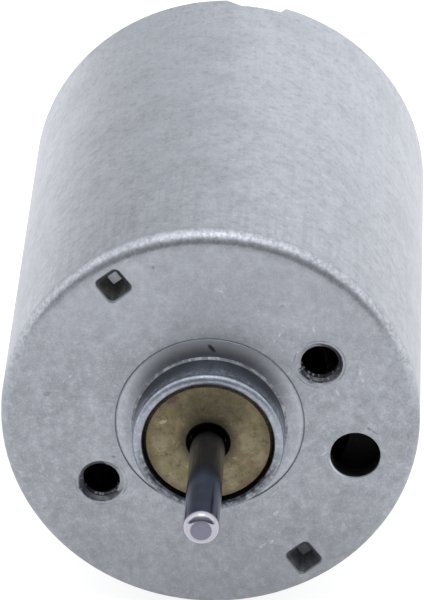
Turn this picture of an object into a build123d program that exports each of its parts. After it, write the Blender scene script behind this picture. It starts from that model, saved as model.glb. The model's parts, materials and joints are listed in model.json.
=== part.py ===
from build123d import *
import os
from math import asin, cos, degrees, radians, sin

# Small brushed direct-current motor, millimetres.
# The shaft lies along Y and leaves towards -Y. The origin is on the shaft axis, in the front
# mounting face. "Depth" is the distance behind that face, along +Y. Angles are seen from the
# front and count from +X towards +Z.

# Steel can
CAN_R = 13.85
CAN_LENGTH = 37.8
WALL = 1.2
CAN_BORE_R = CAN_R - WALL
CORNER_R = 1.0
INNER_CORNER_R = 0.8
RIM_CHAMFER = 0.15
SEAT_R = 12.85
SEAT_DEPTH = 34.0

# Front boss, drawn out of the can's face
BOSS_R = 5.0
BOSS_HEIGHT = 3.0
BOSS_BORE_R = 4.34
BOSS_EDGE_R = 0.4
BOSS_INNER_EDGE_R = 0.22
COLLAR_R = 6.16
COLLAR_HEIGHT = 0.42
COLLAR_COVE = 0.14
GROOVE_WIDTH = 0.12
GROOVE_DEPTH = 0.06

# Holes and pressed pockets in the front face
SCREW_PCD = 17.0
SCREW_ANGLE = 32.0
SCREW_COUNT = 2
SCREW_MINOR_R = 1.25
SCREW_MOUTH_R = 1.55
SCREW_MOUTH_DEPTH = 0.2
VENT_HOLE_R = 1.65
VENT_HOLE_POSITION_R = 9.87
VENT_HOLE_ANGLE = -12.9
VENT_EDGE_R = 0.08
STOP_R = 11.8
STOP_ANGLE = 122.1
STOP_TWIST = 6.0
STOP_MOUTH = 1.94
STOP_MOUTH_CORNER_R = 0.38
STOP_MOUTH_EDGE_R = 0.12
STOP_FLOOR = 0.68
STOP_FLOOR_CORNER_R = 0.08
STOP_DEPTH = 1.2
STOP_HEIGHT = 1.1
STOP_NOSE = 1.8
STOP_BASE = 2.9

# Rim notches for the end bell's keys, and the rim's staked lugs
NOTCH_ANGLE = 82.0
NOTCH_DEPTH = 0.95
NOTCH_MOUTH = (-2.15, 2.35)
NOTCH_FLOOR = (-1.72, 1.15)
LUG_ANGLES = (37.0, 127.0, 217.0, 307.0)
LUG_WIDTH = 2.2
LUG_REACH = 0.7
LUG_HEIGHT = 0.4

# Shaft and sintered bushings
SHAFT_R = 1.15
SHAFT_FRONT = -14.7
SHAFT_REAR = 39.3
SHAFT_TIP_R = 0.6
SHAFT_REAR_CHAMFER = 0.12
RELIEF_FRONT = -2.75
RELIEF_REAR = -2.2
RELIEF_R = 0.95
RUNNING_CLEARANCE = 0.02
BUSHING_BORE_R = SHAFT_R + RUNNING_CLEARANCE
FRONT_BUSHING_FACE = -2.7
FRONT_BUSHING_REAR = 1.9
BUSHING_CHAMFER_R = 0.27
BUSHING_CHAMFER_DEPTH = 0.55
BUSHING_MOUTH_R = 1.47
BUSHING_MOUTH_DEPTH = 0.35
REAR_BUSHING_R = 3.0
REAR_BUSHING_FRONT = 35.0
REAR_BUSHING_REAR = 39.3

# Magnets and their hairpin springs
MAGNET_START = 2.35
MAGNET_LENGTH = 25.0
MAGNET_OUTER_R = CAN_BORE_R - 0.03
MAGNET_INNER_R = 9.4
MAGNET_HALF_SPAN = 62.0
MAGNET_EDGE = 0.35
SPRING_WIRE_R = 0.5
SPRING_WIRE_POSITION_R = 12.0
SPRING_FRONT = 4.5
SPRING_REAR = 25.5
SPRING_GAP = 0.02

# Armature core: three teeth, stamped laminations
POLES = 3
TOOTH_ANGLE = 90.0
CORE_R = 9.05
CORE_START = 7.4
LAMINATION_COUNT = 33
LAMINATION_PITCH = 0.5
OXIDE_GAP = 0.01
CORE_LENGTH = LAMINATION_COUNT * LAMINATION_PITCH
CORE_END = CORE_START + CORE_LENGTH
SHOE_INNER_R = 7.7
TOOTH_WIDTH = 4.2
HUB_R = 3.1
SLOT_MOUTH = 2.0
INSULATOR_THICKNESS = 0.8
INSULATOR_SETBACK = 0.1
INSULATOR_COLLAR_R = 2.3
LINER_THICKNESS = 0.15
LINER_MOUTH_HALF_ANGLE = 12.0

# Coils
COIL_INNER_HALF_WIDTH = 2.35
COIL_OUTER_HALF_WIDTH = 4.6
COIL_START_R = 3.45
COIL_LIMIT_R = 7.45
COIL_OVERHANG = 2.0
COIL_CORNER_R = 1.9
COIL_INNER_CORNER_R = 0.3

# Commutator and varistor ring
COMMUTATOR_R = 2.9
COMMUTATOR_BASE_R = 2.2
COMMUTATOR_START = 27.6
COMMUTATOR_END = 33.4
COMMUTATOR_FLANGE_R = 4.2
COMMUTATOR_FLANGE_START = 27.0
COMMUTATOR_BASE_END = 33.8
SEGMENT_SLOT = 0.35
RISER_ROOT = 0.4
RISER_R = 4.9
RISER_WIDTH = 1.4
RISER_THICKNESS = 0.4
VARISTOR_INNER_R = 3.1
VARISTOR_OUTER_R = 4.9
VARISTOR_START = 28.05
VARISTOR_THICKNESS = 1.1
SOLDER_R = 0.55
SOLDER_START = 27.7
SOLDER_END = 29.0

# Collars and washers on the shaft: name, radius, start depth, end depth
SHAFT_RINGS = (
    ("front_oil_washer", 2.6, 2.05, 2.35),
    ("front_thrust_washer", 2.3, 2.38, 2.68),
    ("front_spacer", 2.0, 2.7, 5.6),
    ("rear_thrust_washer", 2.3, 33.85, 34.25),
    ("rear_oil_washer", 2.6, 34.28, 34.85),
)
END_PLAY = 0.05
SPACER_END = SHAFT_RINGS[2][3]

# Moulded end bell
BELL_R = SEAT_R - 0.03
BELL_REAR = 37.3
BELL_PLATE_FRONT = 35.0
BELL_SKIRT_R = 11.3
BELL_EDGE = 0.3
REAR_BOSS_R = 5.0
REAR_BOSS_END = 39.9
REAR_BOSS_OPENING_R = 2.4
REAR_BOSS_CHAMFER = 0.3
KEY_WIDTH = 2.0
KEY_OUTER_R = 13.1
KEY_DEPTH = 0.4
KEY_OFFSET = -0.28
WINDOW_R = 8.5
WINDOW_LENGTH = 7.0
WINDOW_WIDTH = 3.0
POLARITY_DOT_R = 0.5
POLARITY_DOT_DEPTH = 0.3
POLARITY_DOT_POSITION_R = 10.9

# Terminals, brush arms and carbon brushes
TERMINAL_ANGLE = NOTCH_ANGLE + 90.0
TERMINAL_R = 8.35
TERMINAL_THICKNESS = 0.5
TERMINAL_WIDTH = 2.8
TERMINAL_TONGUE_WIDTH = 2.4
TERMINAL_END = 42.3
TERMINAL_TAPER = 0.6
TERMINAL_HOLE_R = 0.65
TERMINAL_HOLE_DEPTH = 40.4
TERMINAL_FIT = 0.02
POST_FRONT = 33.2
POST_LENGTH = 2.6
POST_WIDTH = 4.2
ARM_START = 29.7
ARM_WIDTH = 3.0
ARM_THICKNESS = 0.3
ARM_TAIL = 1.2
ARM_BEND_OFFSET = 5.6
BRUSH_START = 29.6
BRUSH_LENGTH = 3.2
BRUSH_WIDTH = 2.0
BRUSH_FACE_R = COMMUTATOR_R + 0.05
BRUSH_BACK_R = 4.75
BRUSH_FRONT_R = 2.7


# Match tolerance for picking edges
TINY = 1e-4


def across(depth, angle=0.0):
    """Plane square to the shaft, with local X pointing out from the axis at the given angle."""
    outwards = (cos(radians(angle)), 0, sin(radians(angle)))
    return Plane(origin=(0, depth, 0), x_dir=outwards, z_dir=(0, -1, 0))


def facing(angle, distance):
    """Plane that faces out from the axis; local X is tangential and local Y is minus the depth."""
    x, z = cos(radians(angle)), sin(radians(angle))
    return Plane(origin=(distance * x, 0, distance * z), x_dir=(-z, 0, x), z_dir=(x, 0, z))


def beside(angle):
    """Plane through the axis; local X is the distance from the axis and local Y is the depth."""
    x, z = cos(radians(angle)), sin(radians(angle))
    return Plane(origin=(0, 0, 0), x_dir=(x, 0, z), z_dir=(-z, 0, x))


def save(piece, name):
    """Label one finished piece and write it to its own file."""
    piece.part.label = name
    export_step(piece.part, f"parts/{name}.step")


def ring(outer_r, inner_r, start, end):
    """Plain ring around the shaft, from one depth to another."""
    with BuildPart() as made:
        with BuildSketch(across(start)):
            Circle(outer_r)
            Circle(inner_r, mode=Mode.SUBTRACT)
        extrude(amount=start - end)
    return made


def sector(outer_r, inner_r, middle_angle, half_span):
    """Face between two radii and two angles, in a plane square to the shaft."""
    with BuildSketch() as made:
        with BuildLine():
            outer = CenterArc((0, 0), outer_r, middle_angle - half_span, 2 * half_span)
            inner = CenterArc((0, 0), inner_r, middle_angle - half_span, 2 * half_span)
            Line(outer @ 0, inner @ 0)
            Line(outer @ 1, inner @ 1)
        make_face()
    return made.sketch


def core_outline(trim=0.0):
    """Outline of one armature stamping, drawn in on every edge by the trim."""
    with BuildSketch() as made:
        Circle(CORE_R - trim)
        Circle(SHOE_INNER_R + trim, mode=Mode.SUBTRACT)
        with PolarLocations(CORE_R / 2, POLES, start_angle=TOOTH_ANGLE):
            Rectangle(CORE_R - 1, TOOTH_WIDTH - 2 * trim)
        with PolarLocations(CORE_R, POLES, start_angle=TOOTH_ANGLE + 180 / POLES):
            Rectangle(CORE_R / 2, SLOT_MOUTH + 2 * trim, mode=Mode.SUBTRACT)
        Circle(HUB_R)
        Circle(SHAFT_R, mode=Mode.SUBTRACT)
    return made.sketch


os.makedirs("parts", exist_ok=True)

# Can: a deep-drawn cup with the boss, holes, pockets, rim notches and staked lugs.
with BuildPart() as motor_can:
    with BuildSketch(Plane.XY):
        with BuildLine():
            rim_inner = (BOSS_BORE_R + BOSS_INNER_EDGE_R, BOSS_INNER_EDGE_R - BOSS_HEIGHT)
            rim_inner_edge = CenterArc(rim_inner, BOSS_INNER_EDGE_R, 180, 90)
            rim_outer = (BOSS_R - BOSS_EDGE_R, BOSS_EDGE_R - BOSS_HEIGHT)
            boss_edge = CenterArc(rim_outer, BOSS_EDGE_R, -90, 90)
            Line((BOSS_BORE_R, WALL), rim_inner_edge @ 0)
            Line(rim_inner_edge @ 1, boss_edge @ 0)
            front_edge = CenterArc((CAN_R - CORNER_R, CORNER_R), CORNER_R, -90, 90)
            Polyline(
                boss_edge @ 1,
                (BOSS_R, -COLLAR_HEIGHT - COLLAR_COVE),
                (BOSS_R + COLLAR_COVE, -COLLAR_HEIGHT),
                (COLLAR_R, 0),
                (COLLAR_R + GROOVE_WIDTH / 2, GROOVE_DEPTH),
                (COLLAR_R + GROOVE_WIDTH, 0),
                front_edge @ 0,
            )
            inner_middle = (CAN_BORE_R - INNER_CORNER_R, WALL + INNER_CORNER_R)
            inner_edge = CenterArc(inner_middle, INNER_CORNER_R, -90, 90)
            Polyline(
                front_edge @ 1,
                (CAN_R, CAN_LENGTH - RIM_CHAMFER),
                (CAN_R - RIM_CHAMFER, CAN_LENGTH),
                (SEAT_R, CAN_LENGTH),
                (SEAT_R, SEAT_DEPTH),
                (CAN_BORE_R, SEAT_DEPTH),
                inner_edge @ 1,
            )
            Line(inner_edge @ 0, (BOSS_BORE_R, WALL))
        make_face()
    revolve(axis=Axis.Y)

    # Magnet stops: pushed through from the front, so each is a pocket outside and a peg inside.
    with BuildSketch(across(WALL + STOP_HEIGHT)):
        with PolarLocations(STOP_R, 2, start_angle=STOP_ANGLE):
            Rectangle(STOP_NOSE, STOP_NOSE)
    peg_taper = degrees(asin((STOP_BASE - STOP_NOSE) / 2 / STOP_HEIGHT))
    extrude(amount=STOP_HEIGHT, taper=-peg_taper)
    for angle in (STOP_ANGLE, STOP_ANGLE + 180):
        with BuildSketch(across(0, angle)):
            with Locations((STOP_R, 0)):
                RectangleRounded(STOP_MOUTH, STOP_MOUTH, STOP_MOUTH_CORNER_R, rotation=STOP_TWIST)
        with BuildSketch(across(STOP_DEPTH, angle)):
            with Locations((STOP_R, 0)):
                RectangleRounded(STOP_FLOOR, STOP_FLOOR, STOP_FLOOR_CORNER_R, rotation=STOP_TWIST)
        loft(mode=Mode.SUBTRACT)
    stop_mouths = motor_can.edges().filter_by(
        lambda edge: abs(edge.center().Y) < TINY and edge.length < STOP_MOUTH
    )
    fillet(stop_mouths, STOP_MOUTH_EDGE_R)

    # Vent hole.
    vent_x = VENT_HOLE_POSITION_R * cos(radians(VENT_HOLE_ANGLE))
    vent_z = VENT_HOLE_POSITION_R * sin(radians(VENT_HOLE_ANGLE))
    with BuildSketch(across(0)):
        with Locations((vent_x, vent_z)):
            Circle(VENT_HOLE_R)
    extrude(amount=-2 * WALL, mode=Mode.SUBTRACT)
    vent_mouth = motor_can.edges().filter_by(GeomType.CIRCLE).filter_by(
        lambda edge: abs(edge.radius - VENT_HOLE_R) < TINY and abs(edge.center().Y) < TINY
    )
    fillet(vent_mouth, VENT_EDGE_R)

    # Tapped screw holes, at the thread's minor radius, with a chamfered mouth.
    with BuildSketch(across(0)):
        with PolarLocations(SCREW_PCD / 2, SCREW_COUNT, start_angle=SCREW_ANGLE):
            Circle(SCREW_MINOR_R)
    extrude(amount=-2 * WALL, mode=Mode.SUBTRACT)
    screw_mouths = motor_can.edges().filter_by(GeomType.CIRCLE).filter_by(
        lambda edge: abs(edge.radius - SCREW_MINOR_R) < TINY and abs(edge.center().Y) < TINY
    )
    chamfer(screw_mouths, SCREW_MOUTH_R - SCREW_MINOR_R, SCREW_MOUTH_DEPTH)

    # Rim notches.
    for angle in (NOTCH_ANGLE, NOTCH_ANGLE + 180):
        with BuildSketch(facing(angle, SEAT_R - 1)):
            with BuildLine():
                Polyline(
                    (NOTCH_MOUTH[0], -CAN_LENGTH - 1),
                    (NOTCH_MOUTH[0], -CAN_LENGTH),
                    (NOTCH_FLOOR[0], NOTCH_DEPTH - CAN_LENGTH),
                    (NOTCH_FLOOR[1], NOTCH_DEPTH - CAN_LENGTH),
                    (NOTCH_MOUTH[1], -CAN_LENGTH),
                    (NOTCH_MOUTH[1], -CAN_LENGTH - 1),
                    close=True,
                )
            make_face()
        extrude(amount=3 * WALL, mode=Mode.SUBTRACT)

    # Lugs staked in over the end bell.
    for angle in LUG_ANGLES:
        with BuildSketch(beside(angle)):
            with BuildLine():
                Polyline(
                    (SEAT_R + WALL / 4, BELL_REAR),
                    (SEAT_R - LUG_REACH, BELL_REAR),
                    (SEAT_R - LUG_REACH, BELL_REAR + LUG_HEIGHT / 2),
                    (SEAT_R + WALL / 4, BELL_REAR + LUG_HEIGHT),
                    close=True,
                )
            make_face()
        extrude(amount=LUG_WIDTH / 2, both=True)
save(motor_can, "motor_can")

# Front bushing: sintered bronze, set back a little in the boss, with a chamfered outer edge.
with BuildPart() as front_bushing:
    with BuildSketch(Plane.XY):
        with BuildLine():
            Polyline(
                (BUSHING_BORE_R, FRONT_BUSHING_FACE + BUSHING_MOUTH_DEPTH),
                (BUSHING_MOUTH_R, FRONT_BUSHING_FACE),
                (BOSS_BORE_R - BUSHING_CHAMFER_R, FRONT_BUSHING_FACE),
                (BOSS_BORE_R, FRONT_BUSHING_FACE + BUSHING_CHAMFER_DEPTH),
                (BOSS_BORE_R, FRONT_BUSHING_REAR),
                (BUSHING_BORE_R, FRONT_BUSHING_REAR),
                close=True,
            )
        make_face()
    revolve(axis=Axis.Y)
save(front_bushing, "front_bushing")

# Rear bushing, in the end bell.
rear_bushing = ring(REAR_BUSHING_R, BUSHING_BORE_R, REAR_BUSHING_FRONT, REAR_BUSHING_REAR)
save(rear_bushing, "rear_bushing")

# Two ferrite arc magnets, each against a magnet stop.
for number, middle in enumerate((STOP_ANGLE, STOP_ANGLE + 180), start=1):
    with BuildPart() as magnet:
        with BuildSketch(across(MAGNET_START)):
            add(sector(MAGNET_OUTER_R, MAGNET_INNER_R, middle, MAGNET_HALF_SPAN))
        extrude(amount=-MAGNET_LENGTH)
        long_edges = magnet.edges().filter_by(Axis.Y)
        chamfer(long_edges, MAGNET_EDGE)
    save(magnet, f"magnet_{number}")

# Hairpin springs that press the magnets apart, one in each gap between them.
gap_half_angle = 90 - MAGNET_HALF_SPAN
wire_angle = gap_half_angle - degrees(asin((SPRING_WIRE_R + SPRING_GAP) / SPRING_WIRE_POSITION_R))
wire_offset = SPRING_WIRE_POSITION_R * sin(radians(wire_angle))
wire_distance = SPRING_WIRE_POSITION_R * cos(radians(wire_angle))
for number, middle in enumerate((STOP_ANGLE - 90, STOP_ANGLE + 90), start=1):
    with BuildPart() as magnet_spring:
        with BuildLine(facing(middle, wire_distance)):
            bend_middle = (0, -SPRING_FRONT - wire_offset)
            bend = CenterArc(bend_middle, wire_offset, 0, 180)
            Line((wire_offset, -SPRING_REAR), bend @ 0)
            Line(bend @ 1, (-wire_offset, -SPRING_REAR))
        wire_start = facing(middle, wire_distance).from_local_coords((wire_offset, -SPRING_REAR, 0))
        with BuildSketch(Plane(origin=wire_start, z_dir=(0, -1, 0))):
            Circle(SPRING_WIRE_R)
        sweep()
    save(magnet_spring, f"magnet_spring_{number}")

# End bell: moulded plate, skirt and rear boss, with keys, windows, terminal posts and slots.
with BuildPart() as end_bell:
    with BuildSketch(Plane.XY):
        with BuildLine():
            Polyline(
                (REAR_BUSHING_R, BELL_PLATE_FRONT),
                (BELL_SKIRT_R, BELL_PLATE_FRONT),
                (BELL_SKIRT_R, SEAT_DEPTH),
                (BELL_R, SEAT_DEPTH),
                (BELL_R, BELL_REAR - BELL_EDGE / 2),
                (BELL_R - BELL_EDGE / 2, BELL_REAR),
                (REAR_BOSS_R + BELL_EDGE, BELL_REAR),
                (REAR_BOSS_R, BELL_REAR + BELL_EDGE),
                (REAR_BOSS_R, REAR_BOSS_END - REAR_BOSS_CHAMFER),
                (REAR_BOSS_R - REAR_BOSS_CHAMFER, REAR_BOSS_END),
                (REAR_BOSS_OPENING_R, REAR_BOSS_END),
                (REAR_BOSS_OPENING_R, REAR_BUSHING_REAR),
                (REAR_BUSHING_R, REAR_BUSHING_REAR),
                close=True,
            )
        make_face()
    revolve(axis=Axis.Y)
    for angle in (NOTCH_ANGLE, NOTCH_ANGLE + 180):
        with BuildSketch(across(BELL_REAR, angle)):
            with Locations(((SEAT_R - 1 + KEY_OUTER_R) / 2, KEY_OFFSET)):
                Rectangle(KEY_OUTER_R - SEAT_R + 1, KEY_WIDTH)
        extrude(amount=KEY_DEPTH)
    with BuildSketch(across(POST_FRONT)):
        with PolarLocations(TERMINAL_R, 2, start_angle=TERMINAL_ANGLE):
            Rectangle(POST_LENGTH, POST_WIDTH)
    extrude(amount=POST_FRONT - BELL_PLATE_FRONT)
    with BuildSketch(across(POST_FRONT)):
        with PolarLocations(TERMINAL_R + TERMINAL_THICKNESS / 2, 2, start_angle=TERMINAL_ANGLE):
            Rectangle(TERMINAL_THICKNESS + 2 * TERMINAL_FIT, TERMINAL_WIDTH + 2 * TERMINAL_FIT)
        with PolarLocations(WINDOW_R, 2, start_angle=NOTCH_ANGLE):
            SlotOverall(WINDOW_LENGTH, WINDOW_WIDTH, rotation=90)
    extrude(amount=POST_FRONT - REAR_BOSS_END, mode=Mode.SUBTRACT)
    with BuildSketch(across(BELL_REAR, TERMINAL_ANGLE)):
        with Locations((POLARITY_DOT_POSITION_R, 0)):
            Circle(POLARITY_DOT_R)
    extrude(amount=POLARITY_DOT_DEPTH, mode=Mode.SUBTRACT)
save(end_bell, "end_bell")

# Terminals, brush arms and carbon brushes, one set on each side of the commutator.
for number, angle in enumerate((TERMINAL_ANGLE, TERMINAL_ANGLE + 180), start=1):
    with BuildPart() as terminal:
        with BuildSketch(facing(angle, TERMINAL_R)):
            with BuildLine():
                Polyline(
                    (-TERMINAL_TONGUE_WIDTH / 2, -ARM_START),
                    (TERMINAL_TONGUE_WIDTH / 2, -ARM_START),
                    (TERMINAL_TONGUE_WIDTH / 2, -POST_FRONT),
                    (TERMINAL_WIDTH / 2, -POST_FRONT),
                    (TERMINAL_WIDTH / 2, TERMINAL_TAPER - TERMINAL_END),
                    (TERMINAL_WIDTH / 2 - TERMINAL_TAPER, -TERMINAL_END),
                    (TERMINAL_TAPER - TERMINAL_WIDTH / 2, -TERMINAL_END),
                    (-TERMINAL_WIDTH / 2, TERMINAL_TAPER - TERMINAL_END),
                    (-TERMINAL_WIDTH / 2, -POST_FRONT),
                    (-TERMINAL_TONGUE_WIDTH / 2, -POST_FRONT),
                    close=True,
                )
            make_face()
            with Locations((0, -TERMINAL_HOLE_DEPTH)):
                Circle(TERMINAL_HOLE_R, mode=Mode.SUBTRACT)
        extrude(amount=TERMINAL_THICKNESS)
    save(terminal, f"terminal_{number}")

    with BuildPart() as brush_arm:
        with BuildSketch(across(ARM_START, angle)):
            with BuildLine():
                outer_leg = TERMINAL_R - ARM_THICKNESS / 2
                inner_leg = BRUSH_BACK_R + ARM_THICKNESS / 2
                bend_r = (outer_leg - inner_leg) / 2
                bend = CenterArc((inner_leg + bend_r, ARM_BEND_OFFSET), bend_r, 0, 180)
                Line((outer_leg, -ARM_TAIL), bend @ 0)
                Line(bend @ 1, (inner_leg, -ARM_TAIL))
            trace(line_width=ARM_THICKNESS)
        extrude(amount=-ARM_WIDTH)
    save(brush_arm, f"brush_arm_{number}")

    with BuildPart() as carbon_brush:
        with BuildSketch(across(BRUSH_START, angle)):
            with Locations(((BRUSH_FRONT_R + BRUSH_BACK_R) / 2, 0)):
                Rectangle(BRUSH_BACK_R - BRUSH_FRONT_R, BRUSH_WIDTH)
            Circle(BRUSH_FACE_R, mode=Mode.SUBTRACT)
        extrude(amount=-BRUSH_LENGTH)
    save(carbon_brush, f"carbon_brush_{number}")

# Shaft: ground steel, rounded at the output end, with an oil-return groove in the bushing's mouth.
with BuildPart() as shaft:
    with BuildSketch(across(SHAFT_FRONT)):
        Circle(SHAFT_R)
    extrude(amount=SHAFT_FRONT - SHAFT_REAR)
    fillet(shaft.edges().sort_by(Axis.Y)[0], SHAFT_TIP_R)
    chamfer(shaft.edges().sort_by(Axis.Y)[-1], SHAFT_REAR_CHAMFER)
    with BuildSketch(across(RELIEF_FRONT)):
        Circle(2 * SHAFT_R)
        Circle(RELIEF_R, mode=Mode.SUBTRACT)
    extrude(amount=RELIEF_FRONT - RELIEF_REAR, mode=Mode.SUBTRACT)
save(shaft, "shaft")

# Washers and the spacer on the shaft.
for name, radius, start, end in SHAFT_RINGS:
    shaft_ring = ring(radius, SHAFT_R, start, end)
    save(shaft_ring, name)

# Laminations: thin stampings, each with its own oxide gap to the next.
with BuildPart() as core_laminations:
    stack = [across(CORE_START + LAMINATION_PITCH * step) for step in range(LAMINATION_COUNT)]
    with BuildSketch(*stack):
        add(core_outline())
    extrude(amount=OXIDE_GAP - LAMINATION_PITCH)
save(core_laminations, "core_laminations")

# Moulded insulators at both ends of the core, each with a collar around the shaft.
insulator_places = (
    ("front_core_insulator", CORE_START - INSULATOR_THICKNESS, SPACER_END + END_PLAY, CORE_START),
    ("rear_core_insulator", CORE_END, CORE_END, COMMUTATOR_FLANGE_START - END_PLAY),
)
for name, plate_start, collar_start, collar_end in insulator_places:
    with BuildPart() as core_insulator:
        with BuildSketch(across(plate_start)):
            add(core_outline(trim=INSULATOR_SETBACK))
        extrude(amount=-INSULATOR_THICKNESS)
        with BuildSketch(across(collar_start)):
            Circle(INSULATOR_COLLAR_R)
            Circle(SHAFT_R, mode=Mode.SUBTRACT)
        extrude(amount=collar_start - collar_end)
    save(core_insulator, name)

# Slot liners: a fold of film in each slot between the teeth, open at the slot's mouth.
for number in range(1, POLES + 1):
    middle = TOOTH_ANGLE + (number - 0.5) * 360 / POLES
    with BuildPart() as slot_liner:
        with BuildSketch(across(CORE_START)):
            Circle(SHOE_INNER_R - OXIDE_GAP)
            Circle(HUB_R + OXIDE_GAP, mode=Mode.SUBTRACT)
            with PolarLocations(CORE_R / 2, POLES, start_angle=TOOTH_ANGLE):
                Rectangle(CORE_R - 1, TOOTH_WIDTH + 2 * OXIDE_GAP, mode=Mode.SUBTRACT)
            add(sector(CORE_R, 1, middle, 180 / POLES), mode=Mode.INTERSECT)
            offset(amount=-LINER_THICKNESS, kind=Kind.INTERSECTION, mode=Mode.SUBTRACT)
            mouth = sector(CORE_R, SHOE_INNER_R - 1, middle, LINER_MOUTH_HALF_ANGLE)
            add(mouth, mode=Mode.SUBTRACT)
        extrude(amount=-CORE_LENGTH)
    save(slot_liner, f"slot_liner_{number}")

# Coils: one winding around each tooth.
coil_inner_length = CORE_LENGTH + 2 * INSULATOR_THICKNESS
coil_length = coil_inner_length + 2 * COIL_OVERHANG
coil_middle = (CORE_START + CORE_END) / 2
for number in range(1, POLES + 1):
    angle = TOOTH_ANGLE + (number - 1) * 360 / POLES
    with BuildPart() as coil:
        with BuildSketch(facing(angle, COIL_START_R)):
            with Locations((0, -coil_middle)):
                RectangleRounded(2 * COIL_OUTER_HALF_WIDTH, coil_length, COIL_CORNER_R)
                RectangleRounded(
                    2 * COIL_INNER_HALF_WIDTH,
                    coil_inner_length,
                    COIL_INNER_CORNER_R,
                    mode=Mode.SUBTRACT,
                )
        extrude(amount=COIL_LIMIT_R)
        with BuildSketch(across(coil_middle)):
            Circle(COIL_LIMIT_R)
        extrude(amount=coil_length, both=True, mode=Mode.INTERSECT)
    save(coil, f"coil_{number}")

# Commutator: moulded base, copper segments with risers, and the solder on each riser.
with BuildPart() as commutator_base:
    with BuildSketch(across(COMMUTATOR_FLANGE_START)):
        Circle(COMMUTATOR_FLANGE_R)
        Circle(SHAFT_R, mode=Mode.SUBTRACT)
    extrude(amount=COMMUTATOR_FLANGE_START - COMMUTATOR_START)
    with BuildSketch(across(COMMUTATOR_START)):
        Circle(COMMUTATOR_BASE_R)
        Circle(SHAFT_R, mode=Mode.SUBTRACT)
    extrude(amount=COMMUTATOR_START - COMMUTATOR_BASE_END)
save(commutator_base, "commutator_base")

slot_half_angle = degrees(asin(SEGMENT_SLOT / 2 / COMMUTATOR_R))
for number in range(1, POLES + 1):
    angle = TOOTH_ANGLE + (number - 0.5) * 360 / POLES
    with BuildPart() as commutator_segment:
        with BuildSketch(across(COMMUTATOR_START)):
            span = 180 / POLES - slot_half_angle
            add(sector(COMMUTATOR_R, COMMUTATOR_BASE_R, angle, span))
        extrude(amount=COMMUTATOR_START - COMMUTATOR_END)
        with BuildSketch(across(COMMUTATOR_START, angle)):
            with Locations(((COMMUTATOR_BASE_R + RISER_ROOT + RISER_R) / 2, 0)):
                Rectangle(RISER_R - COMMUTATOR_BASE_R - RISER_ROOT, RISER_WIDTH)
        extrude(amount=-RISER_THICKNESS)
    save(commutator_segment, f"commutator_segment_{number}")

varistor_ring = ring(
    VARISTOR_OUTER_R, VARISTOR_INNER_R, VARISTOR_START, VARISTOR_START + VARISTOR_THICKNESS
)
save(varistor_ring, "varistor_ring")

# Solder on each riser's end, which joins the riser, the coil leads and the varistor ring.
with BuildPart() as solder_joints:
    with BuildSketch(across(SOLDER_START)):
        with PolarLocations(RISER_R, POLES, start_angle=TOOTH_ANGLE + 180 / POLES):
            Circle(SOLDER_R)
        Circle(VARISTOR_OUTER_R, mode=Mode.SUBTRACT)
    extrude(amount=SOLDER_START - SOLDER_END)
save(solder_joints, "solder_joints")
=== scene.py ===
import json
import math

import bmesh
import bpy
from mathutils import Matrix, Vector
from mathutils.kdtree import KDTree


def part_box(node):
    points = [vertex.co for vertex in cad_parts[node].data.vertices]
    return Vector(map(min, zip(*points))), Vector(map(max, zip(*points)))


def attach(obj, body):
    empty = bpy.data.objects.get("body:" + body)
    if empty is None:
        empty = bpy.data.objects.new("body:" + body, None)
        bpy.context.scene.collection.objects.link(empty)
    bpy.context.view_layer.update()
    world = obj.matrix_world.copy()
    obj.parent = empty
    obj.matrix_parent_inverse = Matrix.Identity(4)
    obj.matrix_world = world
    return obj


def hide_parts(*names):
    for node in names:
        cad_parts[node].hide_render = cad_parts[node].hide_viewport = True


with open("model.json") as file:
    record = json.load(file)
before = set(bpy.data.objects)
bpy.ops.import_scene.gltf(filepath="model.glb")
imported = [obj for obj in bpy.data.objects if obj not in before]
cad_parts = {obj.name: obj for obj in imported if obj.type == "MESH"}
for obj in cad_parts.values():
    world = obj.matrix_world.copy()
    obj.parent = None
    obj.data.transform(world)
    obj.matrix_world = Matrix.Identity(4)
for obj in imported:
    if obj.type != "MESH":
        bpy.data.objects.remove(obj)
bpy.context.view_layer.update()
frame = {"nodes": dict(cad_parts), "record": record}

MM = 0.001

# Camera: angles in degrees round the mounting face's centre, distances in metres, lens in millimetres.
CAMERA_AZIMUTH = 2.17
CAMERA_ELEVATION = 26.67
CAMERA_DISTANCE = 0.38575
CAMERA_ASIDE = 0.00015
CAMERA_RAISED = 0.00812
CAMERA_LENS = 351.15

# Brightness of the studio dome: overhead, at the sides and behind, and by height in front.
DOME_TOP = 1.25
DOME_SIDE = 1.17
DOME_FRONT_LOW = 0.16
DOME_FRONT_MIDDLE = 0.34
DOME_TINT = (0.975, 0.988, 1.0, 1)
# What the right side is multiplied by, what a strip across the top adds, and a patch that is dimmer.
DOME_RIGHT = 1.03
DOME_STRIP = 0.35
DOME_SHADE = 0.38
DOME_SHADE_AT = (-0.408, 0.875, 0.259)

# The floor: half its width in metres, its tone, and the light it gives off itself.
FLOOR_HALF = 3.0
FLOOR_TONE = 0.34
FLOOR_GLOW = 0.82

# A soft box over the motor: place and width in metres, power in watts.
SOFT_BOX_PLACE = (0.0, -0.10, 0.9)
SOFT_BOX_WIDTH = 0.5
SOFT_BOX_POWER = 0.7

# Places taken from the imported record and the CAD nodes, in metres.
MOUNTS = {mount["name"]: mount for mount in frame["record"]["mounts"]}
CAN_LOW, CAN_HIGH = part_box("motor_can")
FLOOR_Z = CAN_LOW.z

# The can, in millimetres: outside radius, the corner's radius and where the flat face ends, then the
# boss, the raised collar round it and the cove between them.
CAN_R = CAN_HIGH.x / MM
CORNER_R = 1.0
FACE_R = CAN_R - CORNER_R
BOSS_R = MOUNTS["front_boss"]["dims"]["r_mm"]
BOSS_FRONT = -3.0
COLLAR_R = 6.16
COLLAR_FRONT = -0.42
COVE_R = 0.14

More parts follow.
